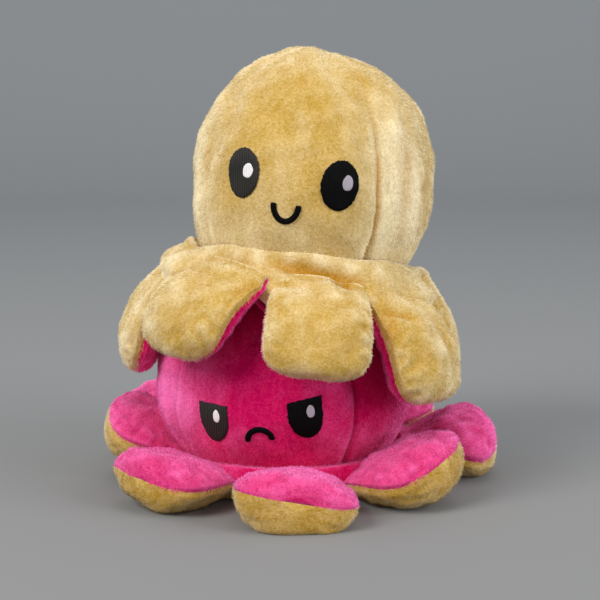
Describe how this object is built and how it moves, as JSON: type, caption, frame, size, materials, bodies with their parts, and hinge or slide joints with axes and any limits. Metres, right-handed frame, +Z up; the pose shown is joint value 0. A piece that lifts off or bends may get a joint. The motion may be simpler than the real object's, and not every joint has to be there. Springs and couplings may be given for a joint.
{
  "type": "plush octopus",
  "caption": "Soft reversible octopus toys stacked one on the other, each a hollow stuffed dome with a face, a skirt and short stuffed arms that fold up.",
  "frame": {"origin": "middle of the toy's footprint on the table, at table height", "axes": "+Z up; -Y is the front, the way the faces look; +X is to the right of someone facing the front"},
  "size_m": [0.1964, 0.1958, 0.2065],
  "materials": {
    "yellow_plush": "short brushed pile, matt with a soft sheen",
    "pink_plush": "short brushed pile, matt with a soft sheen",
    "fibre_filling": "loose white fibre",
    "black_thread": "satin stitch, slight gloss",
    "white_thread": "satin stitch, slight gloss"
  },
  "bodies": {
    "lower_octopus": {"lower_back_panel": "pink_plush", "lower_face_panel": "pink_plush", "lower_head_filling": "fibre_filling", "lower_left_eye": "black_thread", "lower_left_eye_glint": "white_thread", "lower_left_panel": "pink_plush", "lower_mouth": "black_thread", "lower_pocket_lining": "yellow_plush", "lower_right_eye": "black_thread", "lower_right_eye_glint": "white_thread", "lower_right_panel": "pink_plush", "lower_skirt": "pink_plush", "lower_skirt_underside": "yellow_plush"},
    "upper_octopus": {"upper_back_panel": "yellow_plush", "upper_face_panel": "yellow_plush", "upper_head_filling": "fibre_filling", "upper_left_eye": "black_thread", "upper_left_eye_glint": "white_thread", "upper_left_panel": "yellow_plush", "upper_mouth": "black_thread", "upper_pocket_lining": "pink_plush", "upper_right_eye": "black_thread", "upper_right_eye_glint": "white_thread", "upper_right_panel": "yellow_plush", "upper_skirt": "yellow_plush", "upper_skirt_underside": "pink_plush"},
    "lower_front_arm": {"lower_front_arm_cover": "pink_plush", "lower_front_arm_underside": "yellow_plush"},
    "lower_front_right_arm": {"lower_front_right_arm_cover": "pink_plush", "lower_front_right_arm_underside": "yellow_plush"},
    "lower_right_arm": {"lower_right_arm_cover": "pink_plush", "lower_right_arm_underside": "yellow_plush"},
    "lower_back_right_arm": {"lower_back_right_arm_cover": "pink_plush", "lower_back_right_arm_underside": "yellow_plush"},
    "lower_back_arm": {"lower_back_arm_cover": "pink_plush", "lower_back_arm_underside": "yellow_plush"},
    "lower_back_left_arm": {"lower_back_left_arm_cover": "pink_plush", "lower_back_left_arm_underside": "yellow_plush"},
    "lower_left_arm": {"lower_left_arm_cover": "pink_plush", "lower_left_arm_underside": "yellow_plush"},
    "lower_front_left_arm": {"lower_front_left_arm_cover": "pink_plush", "lower_front_left_arm_underside": "yellow_plush"},
    "upper_front_arm": {"upper_front_arm_cover": "yellow_plush", "upper_front_arm_underside": "pink_plush"},
    "upper_front_right_arm": {"upper_front_right_arm_cover": "yellow_plush", "upper_front_right_arm_underside": "pink_plush"},
    "upper_right_arm": {"upper_right_arm_cover": "yellow_plush", "upper_right_arm_underside": "pink_plush"},
    "upper_back_right_arm": {"upper_back_right_arm_cover": "yellow_plush", "upper_back_right_arm_underside": "pink_plush"},
    "upper_back_arm": {"upper_back_arm_cover": "yellow_plush", "upper_back_arm_underside": "pink_plush"},
    "upper_back_left_arm": {"upper_back_left_arm_cover": "yellow_plush", "upper_back_left_arm_underside": "pink_plush"},
    "upper_left_arm": {"upper_left_arm_cover": "yellow_plush", "upper_left_arm_underside": "pink_plush"},
    "upper_front_left_arm": {"upper_front_left_arm_cover": "yellow_plush", "upper_front_left_arm_underside": "pink_plush"}
  },
  "joints": [
    {"name": "upper_octopus_lift_off", "type": "slide", "parent": "lower_octopus", "child": "upper_octopus", "axis": [0, 0, 1], "range_m": [0, 0.13]},
    {"name": "lower_front_arm_fold", "type": "hinge", "parent": "lower_octopus", "child": "lower_front_arm", "pos_m": [0.00303, -0.05792, 0.016], "axis": [-0.9986, -0.0523, 0], "range_deg": [0, 50]},
    {"name": "lower_front_right_arm_fold", "type": "hinge", "parent": "lower_octopus", "child": "lower_front_right_arm", "pos_m": [0.0431, -0.03881, 0.016], "axis": [-0.6691, -0.7431, 0], "range_deg": [0, 50]},
    {"name": "lower_right_arm_fold", "type": "hinge", "parent": "lower_octopus", "child": "lower_right_arm", "pos_m": [0.05792, 0.00303, 0.016], "axis": [0.0523, -0.9986, 0], "range_deg": [0, 50]},
    {"name": "lower_back_right_arm_fold", "type": "hinge", "parent": "lower_octopus", "child": "lower_back_right_arm", "pos_m": [0.03881, 0.0431, 0.016], "axis": [0.7431, -0.6691, 0], "range_deg": [0, 50]},
    {"name": "lower_back_arm_fold", "type": "hinge", "parent": "lower_octopus", "child": "lower_back_arm", "pos_m": [-0.00303, 0.05792, 0.016], "axis": [0.9986, 0.0523, 0], "range_deg": [0, 50]},
    {"name": "lower_back_left_arm_fold", "type": "hinge", "parent": "lower_octopus", "child": "lower_back_left_arm", "pos_m": [-0.0431, 0.03881, 0.016], "axis": [0.6691, 0.7431, 0], "range_deg": [0, 50]},
    {"name": "lower_left_arm_fold", "type": "hinge", "parent": "lower_octopus", "child": "lower_left_arm", "pos_m": [-0.05792, -0.00303, 0.016], "axis": [-0.0523, 0.9986, 0], "range_deg": [0, 36]},
    {"name": "lower_front_left_arm_fold", "type": "hinge", "parent": "lower_octopus", "child": "lower_front_left_arm", "pos_m": [-0.03881, -0.0431, 0.016], "axis": [-0.7431, 0.6691, 0], "range_deg": [0, 50]},
    {"name": "upper_front_arm_fold", "type": "hinge", "parent": "upper_octopus", "child": "upper_front_arm", "pos_m": [0.00753, -0.06391, 0.09312], "axis": [-0.994, -0.0523, 0.0957], "range_deg": [0, 55]},
    {"name": "upper_front_right_arm_fold", "type": "hinge", "parent": "upper_octopus", "child": "upper_front_right_arm", "pos_m": [0.05153, -0.04282, 0.08888], "axis": [-0.666, -0.7431, 0.0641], "range_deg": [0, 75]},
    {"name": "upper_right_arm_fold", "type": "hinge", "parent": "upper_octopus", "child": "upper_right_arm", "pos_m": [0.06781, 0.00335, 0.08731], "axis": [0.0521, -0.9986, -0.005], "range_deg": [0, 77]},
    {"name": "upper_back_right_arm_fold", "type": "hinge", "parent": "upper_octopus", "child": "upper_back_right_arm", "pos_m": [0.04682, 0.04756, 0.08933], "axis": [0.7397, -0.6691, -0.0712], "range_deg": [0, 75]},
    {"name": "upper_back_arm_fold", "type": "hinge", "parent": "upper_octopus", "child": "upper_back_arm", "pos_m": [0.00086, 0.06391, 0.09376], "axis": [0.994, 0.0523, -0.0957], "range_deg": [0, 73]},
    {"name": "upper_back_left_arm_fold", "type": "hinge", "parent": "upper_octopus", "child": "upper_back_left_arm", "pos_m": [-0.04315, 0.04282, 0.098], "axis": [0.666, 0.7431, -0.0641], "range_deg": [0, 73]},
    {"name": "upper_left_arm_fold", "type": "hinge", "parent": "upper_octopus", "child": "upper_left_arm", "pos_m": [-0.05943, -0.00335, 0.09957], "axis": [-0.0521, 0.9986, 0.005], "range_deg": [0, 75]},
    {"name": "upper_front_left_arm_fold", "type": "hinge", "parent": "upper_octopus", "child": "upper_front_left_arm", "pos_m": [-0.03844, -0.04756, 0.09754], "axis": [-0.7397, 0.6691, 0.0712], "range_deg": [0, 59]}
  ]
}
